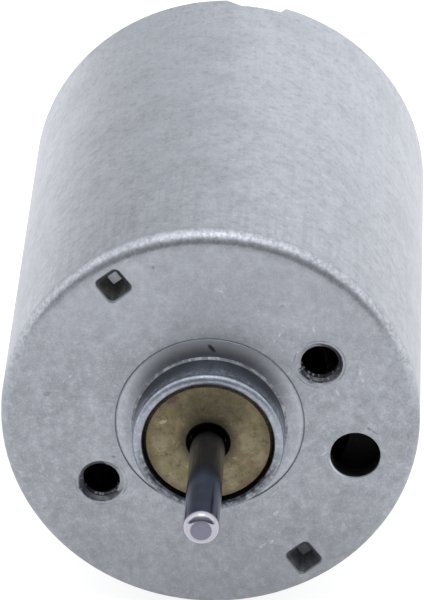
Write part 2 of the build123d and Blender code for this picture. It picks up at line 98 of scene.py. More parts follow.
# The shaft's free end and the bushing: its bore's mouth and its flat face's edge, in millimetres.
SHAFT_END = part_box("shaft")[0].y / MM
BUSHING_MOUTH_R = 1.47
BUSHING_FACE_R = 4.07

# The tapped holes, the vent hole, and how far above or below the axis the pockets begin, in millimetres.
SCREW_PCD = MOUNTS["front_screw_holes"]["dims"]["pcd_mm"]
SCREW_ANGLE = math.radians(32)
SCREW_HOLES = [
    (side * SCREW_PCD / 2 * math.cos(SCREW_ANGLE), side * SCREW_PCD / 2 * math.sin(SCREW_ANGLE))
    for side in (1, -1)
]
SCREW_MOUTH_R = 1.55
VENT_HOLE = (9.62, -2.20)
VENT_R = 1.65
POCKETS_FROM_Z = 8.2

# The M3 coarse thread cut into each tapped hole: the groove's section, its length in turns, how far in
# front of the face it starts, and the angle it starts at.
THREAD_PITCH = 0.5
THREAD_INNER_R = 1.14
THREAD_OUTER_R = 1.5
THREAD_INNER_HALF = 0.235
THREAD_OUTER_HALF = 0.03
THREAD_TURNS = 3.6
THREAD_STEPS = 48
THREAD_LEAD_IN = 0.32
THREAD_STARTS = (math.radians(-25), math.radians(215))

# Cutting the can's mesh: distances in metres, and how alike two faces' directions must be.
MERGE_DISTANCE = 1e-8
SAME_PLACE = 2e-7
SAME_FACING = 0.99
SHARP_ANGLE = math.radians(32)
FRONT = Vector((0, -1, 0))

# Marks on the front, in millimetres: x, z, length, width, turn and, for dark ones, depth of tone.
BRIGHT_MARKS = (
    (4.42, -6.68, 0.28, 0.20, 0.4),
    (4.55, -7.40, 0.16, 0.12, 0.0),
    (4.62, -8.05, 0.12, 0.34, 0.2),
    (3.40, -9.27, 0.55, 0.14, 0.8),
    (4.10, -8.85, 0.26, 0.10, 0.9),
    (4.45, 6.44, 0.85, 0.07, 0.95),
    (-9.40, 3.10, 0.60, 0.06, 0.7),
    (9.85, 3.90, 0.13, 0.30, 0.1),
    (10.05, 3.35, 0.12, 0.32, 0.3),
    (10.40, 3.08, 0.16, 0.13, 0.0),
)
DARK_MARKS = (
    # The first is a nick in the collar: painted shade of the dent, as a dark spot.
    (0.14, 5.65, 0.42, 0.16, -0.75, 0.95),
    (-10.72, 1.96, 0.34, 0.20, 0.3, 0.32),
    (-6.37, -2.63, 0.17, 0.13, 0.0, 0.45),
    (10.50, -0.22, 0.20, 0.12, -0.6, 0.45),
    (10.85, -0.44, 0.46, 0.06, -0.65, 0.40),
    (-8.52, -5.02, 0.34, 0.22, -0.9, 0.90),
)


def grey(value, tint=(1.0, 1.0, 1.0)):
    return (value * tint[0], value * tint[1], value * tint[2], 1.0)


def zinc(value):
    """A tone of the zinc plate, slightly blue."""
    return grey(value, (0.945, 0.985, 1.085))


def drawn_steel(value):
    """A tone of the boss, bluer than the plate."""
    return grey(value, (0.90, 0.98, 1.14))


def pocket_olive(value):
    """A tone of the painted shade on the upper pocket's walls, slightly green."""
    return grey(value, (0.97, 1.02, 1.01))


def slate(value):
    """A tone of the shaft."""
    return grey(value, (0.87, 0.97, 1.28))


class Tree:
    """Short ways to add nodes to a node tree."""

    def __init__(self, tree):
        self.nodes = tree.nodes
        self.links = tree.links

    def node(self, kind, inputs=(), **settings):
        made = self.nodes.new(kind)
        for key, value in settings.items():
            setattr(made, key, value)
        for key, value in dict(inputs).items():
            self.connect(value, made.inputs[key])
        return made

    def connect(self, value, socket):
        if isinstance(value, bpy.types.NodeSocket):
            self.links.new(value, socket)
        else:
            socket.default_value = value

    def maths(self, operation, a, b=0.0):
        return self.node("ShaderNodeMath", {0: a, 1: b}, operation=operation).outputs[0]

    def times(self, product, *others):
        """The product of any number of values."""
        for other in others:
            product = self.maths("MULTIPLY", product, other)
        return product

    def less(self, value):
        """1 less the value: the places that a mask leaves out."""
        return self.maths("SUBTRACT", 1.0, value)

    def band(self, value, low, high, to_low=0.0, to_high=1.0):
        """Goes smoothly from to_low to to_high while the value goes from low to high."""
        inputs = {"Value": value, "From Min": low, "From Max": high, "To Min": to_low, "To Max": to_high}
        made = self.node("ShaderNodeMapRange", inputs, interpolation_type="SMOOTHSTEP")
        return made.outputs["Result"]

    def below(self, value, low, high):
        """1 up to low, 0 from high on."""
        return self.band(value, low, high, 1.0, 0.0)

    def between(self, value, start, full, fade, end):
        """0 up to start, 1 from full to fade, 0 from end on."""
        return self.times(self.band(value, start, full), self.below(value, fade, end))

    def blend(self, data_type, factor, a, b):
        made = self.node("ShaderNodeMix", data_type=data_type)
        self.connect(factor, made.inputs["Factor"])
        self.connect(a, made.inputs["A"])
        self.connect(b, made.inputs["B"])
        return made.outputs["Result"]

    def mix(self, factor, a, b):
        """A colour between two."""
        return self.blend("RGBA", factor, a, b)

    def mix_value(self, factor, a, b):
        """A number between two."""
        return self.blend("FLOAT", factor, a, b)


class Shader(Tree):
    """A procedural material, with coordinates in millimetres in the CAD frame."""

    def __init__(self, name):
        self.material = bpy.data.materials.new(name)
        self.material.use_nodes = True
        super().__init__(self.material.node_tree)
        self.bsdf = self.nodes["Principled BSDF"]
        self.place = self.coordinates()

    def coordinates(self, turn=(0, 0, 0), stretch=(1, 1, 1)):
        source = self.node("ShaderNodeTexCoord")
        scale = [1 / MM * factor for factor in stretch]
        inputs = {"Vector": source.outputs["Object"], "Rotation": turn}
        turned = self.node("ShaderNodeMapping", inputs)
        scaled = self.node("ShaderNodeMapping", {"Vector": turned.outputs[0], "Scale": scale})
        return scaled.outputs[0]

    def noise(self, scale, detail=4.0, rough=0.55, turn=(0, 0, 0), stretch=(1, 1, 1)):
        if turn == (0, 0, 0) and stretch == (1, 1, 1):
            place = self.place
        else:
            place = self.coordinates(turn, stretch)
        inputs = {"Vector": place, "Scale": scale, "Detail": detail, "Roughness": rough}
        return self.node("ShaderNodeTexNoise", inputs).outputs["Fac"]

    def cells(self, scale, turn=(0, 0, 0), stretch=(1, 1, 1)):
        """Distance from a cell's centre, and the channels of a random colour for each cell."""
        place = self.coordinates(turn, stretch)
        made = self.node("ShaderNodeTexVoronoi", {"Vector": place, "Scale": scale})
        split = self.node("ShaderNodeSeparateColor", {"Color": made.outputs["Color"]})
        return made.outputs["Distance"], split.outputs

    def axes(self):
        made = self.node("ShaderNodeSeparateXYZ", {"Vector": self.place})
        return made.outputs["X"], made.outputs["Y"], made.outputs["Z"]

    def facing_axes(self):
        """The surface's direction in the CAD frame."""
        source = self.node("ShaderNodeTexCoord")
        made = self.node("ShaderNodeSeparateXYZ", {"Vector": source.outputs["Normal"]})
        return made.outputs["X"], made.outputs["Y"], made.outputs["Z"]

    def distance_from(self, x, z):
        """Distance in millimetres from a line along the shaft's direction."""
        flat = self.node("ShaderNodeVectorMath", {0: self.place, 1: (1, 0, 1)}, operation="MULTIPLY")
        inputs = {0: flat.outputs[0], 1: (x, 0, z)}
        made = self.node("ShaderNodeVectorMath", inputs, operation="DISTANCE")
        return made.outputs["Value"]

    def spot(self, x, z, long, wide, turn):
        """1 inside a soft oval mark, seen from the front, 0 outside. Sizes in millimetres."""
        moved = self.node("ShaderNodeVectorMath", {0: self.place, 1: (x, 0, z)}, operation="SUBTRACT")
        turned = self.node("ShaderNodeMapping", {"Vector": moved.outputs[0], "Rotation": (0, turn, 0)})
        inputs = {0: turned.outputs[0], 1: (1 / long, 0, 1 / wide)}
        scaled = self.node("ShaderNodeVectorMath", inputs, operation="MULTIPLY")
        size = self.node("ShaderNodeVectorMath", {0: scaled.outputs[0]}, operation="LENGTH")
        return self.below(size.outputs["Value"], 0.5, 1.0)

    def dashes(self, scale, length, turn, share, width):
        """Short fine scratches: long thin cells, of which only a share is marked."""
        distance, channels = self.cells(scale, turn, (1.0 / length, 1.0 / length, 1.0))
        chosen = self.maths("GREATER_THAN", channels[0], 1.0 - share)
        return self.times(self.below(distance, 0.0, width), chosen)

    def bump(self, height, depth_mm, normal=None):
        inputs = {"Height": height, "Distance": depth_mm * MM, "Strength": 1.0}
        if normal is not None:
            inputs["Normal"] = normal
        return self.node("ShaderNodeBump", inputs).outputs["Normal"]

    def paint(self, color, *masks):
        """Lay a colour over what is painted already, as strongly as the masks' product says."""
        self.color = self.mix(self.times(*masks), self.color, color)

    def finish(self, roughness, metallic, normal=None, **fixed):
        self.connect(self.color, self.bsdf.inputs["Base Color"])
        self.connect(roughness, self.bsdf.inputs["Roughness"])
        self.connect(metallic, self.bsdf.inputs["Metallic"])
        if normal is not None:
            self.connect(normal, self.bsdf.inputs["Normal"])
        for key, value in fixed.items():
            self.bsdf.inputs[key.replace("_", " ")].default_value = value
        return self.material


class ZincPlate(Shader):
    """The can's dull zinc plate. Each method paints one thing over what is painted already."""

    def __init__(self):
        super().__init__("zinc_plate")
        _, self.y, self.z = self.axes()
        self.up = self.facing_axes()[2]
        self.radius = self.distance_from(0, 0)
        self.from_rim = self.maths("SUBTRACT", self.y, BOSS_FRONT)
        self.side = self.band(self.y, CORNER_R - 0.2, CORNER_R + 0.4)
        self.on_front = self.below(self.y, 0.02, 0.05)
        self.boss = self.below(self.y, COLLAR_FRONT - 0.33, COLLAR_FRONT + 0.07)
        self.collar = self.below(self.radius, COLLAR_R - 0.1, COLLAR_R + 0.02)
        self.flat_collar = self.times(self.collar, self.less(self.boss))
        self.grain = self.noise(7.0, 3.0, 0.6)
        self.worn = self.band(self.noise(4.2, 3.0, 0.6), 0.42, 0.60)

    def sheet(self):
        """Cloudy and mottled. The side is paler too, more so to the rear, with streaks and dull patches."""
        cloud = self.band(self.noise(0.16, 3.0), 0.3, 0.7)
        self.mottle = self.band(self.noise(0.85, 5.0, 0.62), 0.40, 0.62)
        flecks = self.band(self.noise(2.3, 4.0, 0.6), 0.56, 0.72)
        self.color = self.mix(cloud, zinc(0.335), zinc(0.378))
        self.paint(zinc(0.275), self.mottle, 0.42)
        self.paint(zinc(0.50), flecks, 0.34)
        self.paint(zinc(0.505), self.side, 0.75)
        self.paint(zinc(0.36), self.side, self.mottle, 0.55)
        self.paint(zinc(0.62), self.side, flecks, 0.36)
        self.paint(zinc(0.62), self.side, self.band(self.y, 6.0, 34.0, 0.0, 0.40))
        streak = self.band(self.noise(3.2, 4.0, 0.6, stretch=(1, 0.03, 1)), 0.42, 0.64)
        self.streak = self.times(streak, self.band(self.y, 1.0, 16.0, 1.0, 0.25))
        self.paint(zinc(0.36), self.side, self.streak, 0.62)
        dull = self.noise(0.24, 4.0, 0.6, turn=(0, 0.5, 0))
        self.paint(zinc(0.36), self.band(dull, 0.48, 0.66, 0.0, 0.34), self.side)

    def corner(self):
        """Painted highlight where the corner looks up, patchy as if rubbed, and painted shade where it
        looks down.
        """
        round_edge = self.band(self.radius, FACE_R, FACE_R + 0.25)
        corner = self.times(round_edge, self.below(self.y, CORNER_R - 0.3, CORNER_R + 0.1))
        self.rubbed_and_highlight = self.band(self.noise(4.4, 5.0, 0.7, stretch=(1, 0.6, 1)), 0.34, 0.68)
        self.upper_corner = self.times(corner, self.band(self.up, 0.0, 0.35, 0.0, 0.85))
        # Painted highlight on the upper corner, patchy.
        self.paint(self.mix(self.rubbed_and_highlight, zinc(0.36), zinc(0.60)), self.upper_corner)
        # Painted shade on the corner where it looks down.
        self.paint(zinc(0.16), corner, self.band(self.up, -0.85, -0.35, 0.6, 0.0))

    def speckle(self):
        """Light and dark speckle all over, coarse and fine."""
        coarse = self.noise(1.9, 5.0, 0.65, turn=(0.4, 0.2, 0.9))
        self.paint(zinc(0.56), self.band(coarse, 0.50, 0.66, 0.0, 0.28))
        self.paint(zinc(0.20), self.band(coarse, 0.34, 0.48, 0.28, 0.0))
        self.paint(zinc(0.62), self.band(self.grain, 0.52, 0.66, 0.0, 0.22))
        self.paint(zinc(0.20), self.band(self.grain, 0.34, 0.47, 0.20, 0.0))

    def scratches_and_vent_highlight(self):
        """Random fine scratches, fewer on the side, the bright marks, and a painted highlight on part of
        the vent hole's edge.
        """
        marks = self.dashes(1.3, 6.0, (0, 0.75, 0), 0.20, 0.09)
        for turn, share in ((1.9, 0.16), (2.6, 0.18)):
            marks = self.maths("MAXIMUM", marks, self.dashes(1.0, 5.0, (0, turn, 0), share, 0.08))
        marks = self.times(marks, self.less(self.times(self.side, 0.85)))
        for place in BRIGHT_MARKS:
            marks = self.maths("MAXIMUM", marks, self.times(self.spot(*place), self.worn))
        # Painted highlight on the lower left of the vent hole's edge.
        vent_x, vent_z = VENT_HOLE
        vent_r = self.distance_from(vent_x, vent_z)
        edge = self.between(vent_r, VENT_R + 0.01, VENT_R + 0.07, VENT_R + 0.09, VENT_R + 0.19)
        lower_left_highlight = self.spot(vent_x - 1.3, vent_z - 1.1, 2.4, 1.1, 0.75)
        self.marks = self.maths("MAXIMUM", marks, self.times(edge, lower_left_highlight))
        self.paint(zinc(0.74), self.marks, 0.52)

    def collar_ring(self):
        """The collar: painted shade near the boss and painted light further out, laid on most where it
        looks up, and its groove: painted shade where it looks up and a lighter painted line elsewhere.
        """
        outwards = self.band(self.radius, BOSS_R + 0.25, BOSS_R + 1.25)
        # Painted shade near the boss and painted light further out.
        tone = self.mix(outwards, grey(0.115, (0.92, 0.985, 1.14)), zinc(0.54))
        self.paint(tone, self.flat_collar, self.band(self.up, 0.0, 0.36, 0.22, 0.80))
        groove = self.between(
            self.radius, COLLAR_R - 0.02, COLLAR_R + 0.02, COLLAR_R + 0.09, COLLAR_R + 0.13
        )
        # The groove: painted shade where it looks up, lighter elsewhere.
        tone = self.mix(self.band(self.up, 0.1, 0.4), zinc(0.50), zinc(0.28))
        self.paint(tone, groove, 0.42)

    def low_and_high(self):
        """Painted shade low on the face and the side, and painted light high on the face outside the
        collar.
        """
        self.paint(zinc(0.20), self.band(self.z, -13.0, -3.0, 0.34, 0.0), self.band(self.y, -0.1, -0.05))
        high = self.band(self.z, 1.0, 10.0, 0.0, 0.34)
        self.paint(zinc(0.46), high, self.on_front, self.less(self.collar))

    def stains_and_nick_shade(self):
        """Dark specks, the dark marks with the nick's painted shade, and a broken dark ring round each
        tapped hole.
        """
        distance, channels = self.cells(0.45)
        chosen = self.maths("GREATER_THAN", channels[1], 0.80)
        dark = self.times(self.below(distance, 0.01, 0.10), chosen, self.worn, 0.55)
        for *place, depth in DARK_MARKS:
            mark = self.times(self.spot(*place), depth, self.on_front)
            dark = self.maths("MAXIMUM", dark, mark)
        parts = self.band(self.noise(0.55, 1.0), 0.46, 0.56)
        for x, z in SCREW_HOLES:
            outside = self.maths("SUBTRACT", self.distance_from(x, z), SCREW_MOUTH_R)
            ring = self.between(outside, 0.05, 0.13, 0.15, 0.25)
            dark = self.maths("MAXIMUM", dark, self.times(ring, parts, 0.38, self.on_front))
        self.paint(zinc(0.06), dark)

    def boss_wall(self):
        """The boss: scuffed lengthwise, with painted shade at its foot, bright specks near its rim, a
        speckled painted highlight on the rim, and patchy painted shade in the cove.
        """
        scuffs = self.band(self.noise(2.4, 4.0, 0.7, stretch=(1, 0.3, 1)), 0.42, 0.66)
        specks = self.band(self.noise(3.2, 5.0, 0.8), 0.50, 0.62, 0.0, 0.8)
        foot = self.band(self.from_rim, 0.45, 1.4, 0.0, 0.85)
        near_rim = self.between(self.from_rim, 0.25, 0.4, 0.45, 1.5)
        inner_edge = self.band(self.radius, BOSS_R - 0.5, BOSS_R - 0.3)
        self.rim = self.times(self.below(self.from_rim, 0.1, 0.4), inner_edge)
        wall = self.mix(self.times(scuffs, 0.6), drawn_steel(0.31), drawn_steel(0.54))
        # Painted shade at the boss's foot.
        wall = self.mix(foot, wall, drawn_steel(0.085))
        wall = self.mix(self.times(specks, near_rim), wall, drawn_steel(0.85))
        # A speckled painted highlight on the rim.
        rim_tone = self.mix(specks, drawn_steel(0.36), drawn_steel(0.65))
        wall = self.mix(self.times(self.rim, 0.80), wall, rim_tone)
        self.paint(wall, self.boss, 0.9)
        # Patchy painted shade in the cove between the boss and the collar.
        cove = self.between(
            self.radius, BOSS_R, BOSS_R + 0.03, BOSS_R + COVE_R, BOSS_R + COVE_R + 0.04
        )
        cove_front = COLLAR_FRONT - COVE_R
        behind = self.band(self.y, cove_front - 0.06, cove_front)
        self.paint(self.mix(scuffs, zinc(0.15), zinc(0.40)), cove, behind, 0.8)

    def rim_shade(self):
        """Patchy painted shade on the rim's lower part, thickest towards the bushing."""
        low = self.times(self.below(self.from_rim, 0.25, 0.45), self.band(self.z, -3.0, 0.8, 0.95, 0.12))
        inwards = self.band(self.radius, BOSS_R - 0.45, BOSS_R - 0.05, 1.0, 0.45)
        patches = self.band(self.noise(2.0, 5.0, 0.75), 0.38, 0.56, 0.40, 1.0)
        self.paint(zinc(0.045), low, inwards, patches)

    def punched_walls(self):
        """Painted shade on the walls of the holes and pockets in the face: nearly black, but greyer in
        threads and pockets, and on the pocket floors.
        """
        behind_face = self.band(self.y, 0.05, 0.13)
        inside = self.times(behind_face, self.below(self.radius, FACE_R - 0.1, FACE_R + 0.05))
        level = self.maths("ABSOLUTE", self.facing_axes()[1])
        self.pocket = self.band(self.maths("ABSOLUTE", self.z), POCKETS_FROM_Z, POCKETS_FROM_Z + 0.3)
        lower_pocket = self.times(self.pocket, self.below(self.z, -1.0, 1.0))
        steep = self.maths("MAXIMUM", self.below(level, 0.55, 0.75), lower_pocket)
        self.wall = self.times(inside, steep)
        shade_patches = self.band(self.noise(1.6, 3.0), 0.35, 0.7)
        wall_shade = self.mix(shade_patches, grey(0.05), grey(0.10, (1.0, 1.0, 0.94)))
        wall_shade = self.mix(self.pocket, wall_shade, self.mix(shade_patches, pocket_olive(0.12), pocket_olive(0.20)))
        wall_shade = self.mix(lower_pocket, wall_shade, self.mix(shade_patches, zinc(0.14), zinc(0.22)))
        for x, z in SCREW_HOLES:
            tapped = self.below(self.distance_from(x, z), SCREW_MOUTH_R + 0.05, SCREW_MOUTH_R + 0.15)
            tapped = self.times(tapped, self.band(self.y, 0.5, 1.1, 1.0, 0.1))
            wall_shade = self.mix(tapped, wall_shade, self.mix(shade_patches, zinc(0.17), zinc(0.33)))
        # Painted shade on the walls.
        self.paint(wall_shade, self.wall)
        # Painted shade on the pocket floors.
        pocket_floor = self.times(inside, self.pocket, self.band(self.y, 0.9, 1.1))
        self.paint(zinc(0.15), pocket_floor, self.mix_value(lower_pocket, 0.55, 0.85))

    def surface(self):
        """Sheen and fine relief, and the finished material."""
        roughness = self.band(self.noise(0.6, 4.0), 0.3, 0.7, 0.40, 0.50)
        roughness = self.maths("SUBTRACT", roughness, self.times(self.marks, 0.12))
        roughness = self.mix_value(self.side, roughness, 0.40)
        roughness = self.mix_value(self.upper_corner, roughness, self.mix_value(self.rubbed_and_highlight, 0.42, 0.34))
        roughness = self.mix_value(self.boss, roughness, self.mix_value(self.rim, 0.30, 0.40))
        roughness = self.mix_value(self.flat_collar, roughness, 0.37)
        roughness = self.mix_value(self.wall, roughness, self.mix_value(self.pocket, 0.50, 0.68))
        peel = self.noise(1.5, 2.0, 0.5, turn=(0, 0, 0.6), stretch=(1, 0.6, 1))
        height = self.maths("ADD", self.times(self.mottle, 0.5), self.times(self.grain, 0.2))
        height = self.maths("ADD", height, self.times(peel, 0.45))
        normal = self.bump(height, 0.010)
        normal = self.bump(self.times(self.streak, self.side), 0.005, normal)
        return self.finish(roughness, 1.0, normal)


def zinc_plate():
    shader = ZincPlate()
    shader.sheet()
    shader.corner()
    shader.speckle()
    shader.scratches_and_vent_highlight()
    shader.collar_ring()
    shader.low_and_high()
    shader.stains_and_nick_shade()
    shader.boss_wall()
    shader.rim_shade()
    shader.punched_walls()
    return shader.surface()


def sintered_bronze():
    """Oil-filled sintered bronze: olive and grainy, stained, with painted shade round and above the bore
    and towards the outer edge, and its edge painted dark below and lighter above.
    """
    shader = Shader("sintered_bronze")
    radius = shader.distance_from(0, 0)
    cloud = shader.band(shader.noise(0.9, 4.0, 0.6), 0.36, 0.64)
    stain = shader.band(shader.noise(1.5, 5.0, 0.7), 0.50, 0.68)
    green = shader.band(shader.noise(1.1, 3.0, turn=(0.7, 0, 0)), 0.52, 0.70)
    rust = shader.band(shader.noise(0.95, 4.0, turn=(0, 0.9, 0.4)), 0.50, 0.66)
    light = shader.band(shader.noise(2.4, 4.0, 0.6), 0.58, 0.74)
    grain = shader.noise(9.0, 3.0, 0.7)
    shader.color = shader.mix(cloud, (0.175, 0.145, 0.084, 1), (0.262, 0.226, 0.145, 1))
    shader.paint((0.088, 0.076, 0.042, 1), stain, 0.80)
    shader.paint((0.18, 0.21, 0.09, 1), green, 0.45)
    shader.paint((0.18, 0.115, 0.075, 1), rust, 0.52)
    shader.paint((0.42, 0.37, 0.26, 1), light, 0.52)
    shader.paint((0.38, 0.34, 0.24, 1), shader.band(grain, 0.45, 0.75, 0.0, 0.25))

    ragged = shader.band(grain, 0.30, 0.5)
    shader.paint((0.12, 0.075, 0.085, 1), shader.spot(-2.36, 3.17, 0.62, 0.46, 0.6), ragged, 0.9)
    shader.paint((0.55, 0.50, 0.36, 1), shader.spot(-2.94, 1.48, 0.34, 0.17, 0.3), ragged, 0.6)
    # Painted shade towards the outer edge.
    shade_near_edge = shader.band(radius, BUSHING_FACE_R - 0.62, BUSHING_FACE_R + 0.03, 0.0, 0.45)
    shader.paint((0.10, 0.075, 0.045, 1), shade_near_edge)
    # Painted shade above the bore.
    shader.paint((0.065, 0.058, 0.034, 1), shader.spot(0.2, 2.4, 2.9, 1.7, 0.0), 0.55)
    # Painted shade round the bore's mouth.
    bore_shade = shader.band(radius, BUSHING_MOUTH_R - 0.02, BUSHING_MOUTH_R + 0.88, 0.80, 0.0)
    shader.paint((0.04, 0.036, 0.024, 1), bore_shade)
    # The mouth painted near-black: painted shade.
    shader.paint(grey(0.010), shader.below(radius, BUSHING_MOUTH_R - 0.01, BUSHING_MOUTH_R + 0.05))

    crumbs = shader.band(grain, 0.4, 0.6)
    # The edge: painted shade below, painted light above, grainy.
    edge_shade_below = shader.mix(crumbs, (0.030, 0.023, 0.016, 1), (0.110, 0.082, 0.052, 1))
    edge_lit_above = shader.mix(crumbs, (0.16, 0.12, 0.075, 1), (0.45, 0.36, 0.24, 1))
    edge = shader.mix(shader.band(shader.axes()[2], -1.5, 2.5), edge_shade_below, edge_lit_above)
    shader.paint(edge, shader.band(radius, BUSHING_FACE_R - 0.02, BUSHING_FACE_R + 0.03))
    pits = shader.below(shader.noise(4.2, 3.0, 0.7), 0.30, 0.42)
    shader.paint((0.07, 0.058, 0.034, 1), pits, 0.5)
    roughness = shader.band(grain, 0.3, 0.7, 0.45, 0.65)
    return shader.finish(roughness, 0.85, shader.bump(grain, 0.02))


def ground_steel():
    """Ground shaft: fine rings round it, painted bluer towards the bushing as painted reflection and
    near-black just in front of it as painted shade, with a rounded tip painted pale for a brighter
    highlight, and a pale end face.
    """
    shader = Shader("ground_steel")
    y = shader.axes()[1]
    end = shader.below(y, SHAFT_END + 0.012, SHAFT_END + 0.03)
    tip = shader.below(y, SHAFT_END + 0.45, SHAFT_END + 0.55)
    haze = shader.band(shader.noise(0.8, 4.0), 0.35, 0.7)
    shader.color = shader.mix(haze, slate(0.215), slate(0.265))
    # The rounded tip painted pale: painted highlight.
    shader.paint((0.43, 0.415, 0.48, 1), tip)
    # Bluer and lighter towards the bushing: painted reflection.
    shader.paint(grey(0.30, (0.85, 0.93, 1.40)), shader.band(y, -9.5, -5.5))
    # Near-black just in front of the bushing: painted shade.
    shader.paint(slate(0.03), shader.band(y, -4.2, -3.0))
    lines = shader.band(shader.noise(3.0, 4.0, 0.6, stretch=(1, 1, 0.15)), 0.5, 0.75)
    pale = shader.mix(shader.times(lines, 0.4), (0.205, 0.205, 0.262, 1), (0.165, 0.165, 0.215, 1))
    shader.paint(pale, end)
    rings = shader.noise(14.0, 3.0, 0.6, stretch=(0.05, 1, 0.05))
    roughness = shader.mix_value(tip, shader.band(rings, 0.3, 0.7, 0.13, 0.2), 0.10)
    roughness = shader.mix_value(end, roughness, 0.45)
    relief = shader.times(rings, shader.less(tip))
    return shader.finish(roughness, 1.0, shader.bump(relief, 0.002))


def black_moulding():
    """Black moulded plastic with a fine spark-eroded texture and slight flow marks."""
    shader = Shader("black_moulding")
    texture = shader.noise(6.0, 4.0, 0.7)
    flow = shader.band(shader.noise(0.3, 3.0, stretch=(1, 1, 0.4)), 0.35, 0.7)
    shader.color = shader.mix(flow, grey(0.022), grey(0.036))
    shader.paint(grey(0.07), shader.band(texture, 0.5, 0.8, 0.0, 0.4))
    roughness = shader.band(texture, 0.3, 0.7, 0.42, 0.6)
    return shader.finish(roughness, 0.0, shader.bump(texture, 0.012))


def rolled_metal(name, base, bright):
    """Rolled or drawn metal: fine lines along it, slight tarnish and a few bright scratches."""
    shader = Shader(name)
    rolled = shader.noise(5.0, 4.0, 0.6, stretch=(1, 0.06, 1))
    tarnish = shader.band(shader.noise(0.9, 4.0), 0.4, 0.72)
    shader.color = shader.mix(shader.band(rolled, 0.35, 0.7), base, bright)
    shader.paint(grey(0.6, base), tarnish, 0.25)
    shader.paint(bright, shader.dashes(1.2, 6.0, (0.6, 0.9, 0), 0.15, 0.07), 0.5)
    roughness = shader.band(rolled, 0.3, 0.7, 0.24, 0.38)
    return shader.finish(roughness, 1.0, shader.bump(rolled, 0.0015))


def mineral(name, base, light, scale, rough, metallic=0.0, specular=0.5):
    """Pressed, fired or moulded material: grainy, with lighter grains."""
    shader = Shader(name)
    grain = shader.noise(scale, 5.0, 0.7)
    cloud = shader.band(shader.noise(scale * 0.12, 3.0), 0.35, 0.7, 0.0, 0.5)
    shader.color = shader.mix(shader.band(grain, 0.48, 0.74), base, light)
    shader.paint(grey(0.7, base), cloud)
    roughness = shader.band(grain, 0.3, 0.7, rough - 0.08, rough + 0.08)
    return shader.finish(roughness, metallic, shader.bump(grain, 0.015), Specular_IOR_Level=specular)


# Rolled and drawn metals: base colour and bright colour.
ROLLED_METALS = {
    "tinned_brass": (grey(0.50), grey(0.60)),
    "phosphor_bronze": ((0.50, 0.28, 0.13, 1), (0.70, 0.44, 0.24, 1)),
    "spacer_brass": ((0.55, 0.40, 0.16, 1), (0.75, 0.58, 0.28, 1)),
    "commutator_copper": ((0.60, 0.27, 0.14, 1), (0.80, 0.45, 0.28, 1)),
    "enamelled_copper": ((0.22, 0.06, 0.02, 1), (0.36, 0.12, 0.045, 1)),
    "spring_steel": (grey(0.35), grey(0.55)),
    "washer_steel": (grey(0.45), grey(0.62)),
}
# Grainy materials: base colour, lighter colour, grain scale, roughness and, where they differ from the
# usual, metallic and specular.
MINERALS = {
    "electrical_steel": (grey(0.10), grey(0.22), 4.0, 0.5, 0.8),
    "solder": (grey(0.5), grey(0.7), 3.0, 0.25, 1.0),
    "ferrite": (grey(0.010), grey(0.02), 6.0, 0.8, 0.0, 0.12),
    "carbon": (grey(0.03), grey(0.08), 9.0, 0.5),
    "varistor_ceramic": (grey(0.10), grey(0.18), 6.0, 0.55),
    "phenolic": ((0.05, 0.022, 0.012, 1), (0.10, 0.05, 0.03, 1), 5.0, 0.4),
    "insulator_moulding": ((0.005, 0.014, 0.010, 1), (0.010, 0.026, 0.018, 1), 5.0, 0.7, 0.0, 0.15),
    "liner_film": ((0.10, 0.045, 0.02, 1), (0.16, 0.075, 0.035, 1), 3.0, 0.7, 0.0, 0.2),
    "washer_plastic": ((0.6, 0.55, 0.42, 1), (0.7, 0.66, 0.55, 1), 4.0, 0.5),
}
MATERIALS = {
    "zinc_plated_steel": zinc_plate(),
    "sintered_bronze": sintered_bronze(),
    "ground_steel": ground_steel(),
    "black_moulding": black_moulding(),
}
MATERIALS.update({name: rolled_metal(name, *colors) for name, colors in ROLLED_METALS.items()})
MATERIALS.update({name: mineral(name, *values) for name, values in MINERALS.items()})

for subpart in frame["record"]["subparts"]:
    node_mesh = frame["nodes"][subpart["node"]].data
    node_mesh.materials.clear()
    node_mesh.materials.append(MATERIALS[subpart["material_slot"]])


def thread_cutter(name, x, z, start):
    """A closed helical strip with the section of a thread groove, round a hole's axis."""
    section = (
        (THREAD_INNER_R, -THREAD_INNER_HALF),
        (THREAD_OUTER_R, -THREAD_OUTER_HALF),
        (THREAD_OUTER_R, THREAD_OUTER_HALF),
        (THREAD_INNER_R, THREAD_INNER_HALF),
    )
    points, faces = [], []
    count = round(THREAD_TURNS * THREAD_STEPS)
    for step in range(count + 1):
        turn = step / THREAD_STEPS
        angle = start - 2 * math.pi * turn
        for radius, lift in section:
            depth = turn * THREAD_PITCH + lift - THREAD_LEAD_IN
            points.append((x + radius * math.cos(angle), depth, z + radius * math.sin(angle)))
    size = len(section)
    for step in range(count):
        for corner in range(size):
            here, following = step * size + corner, step * size + (corner + 1) % size
            faces.append((here, following, following + size, here + size))
    faces.append(tuple(range(size)))
    faces.append(tuple(count * size + corner for corner in reversed(range(size))))
    mesh = bpy.data.meshes.new(name)
    mesh.from_pydata([Vector(point) * MM for point in points], [], faces)
    shape = bmesh.new()
    shape.from_mesh(mesh)
    bmesh.ops.recalc_face_normals(shape, faces=shape.faces)
    shape.to_mesh(mesh)
    shape.free()
    cutter = bpy.data.objects.new(name, mesh)
    bpy.context.scene.collection.objects.link(cutter)
    return cutter


def apply_modifiers(piece):
    """Replace a piece's mesh with the result of its modifiers."""
    graph = bpy.context.evaluated_depsgraph_get()
    mesh = bpy.data.meshes.new_from_object(piece.evaluated_get(graph))
    piece.modifiers.clear()
    piece.data = mesh


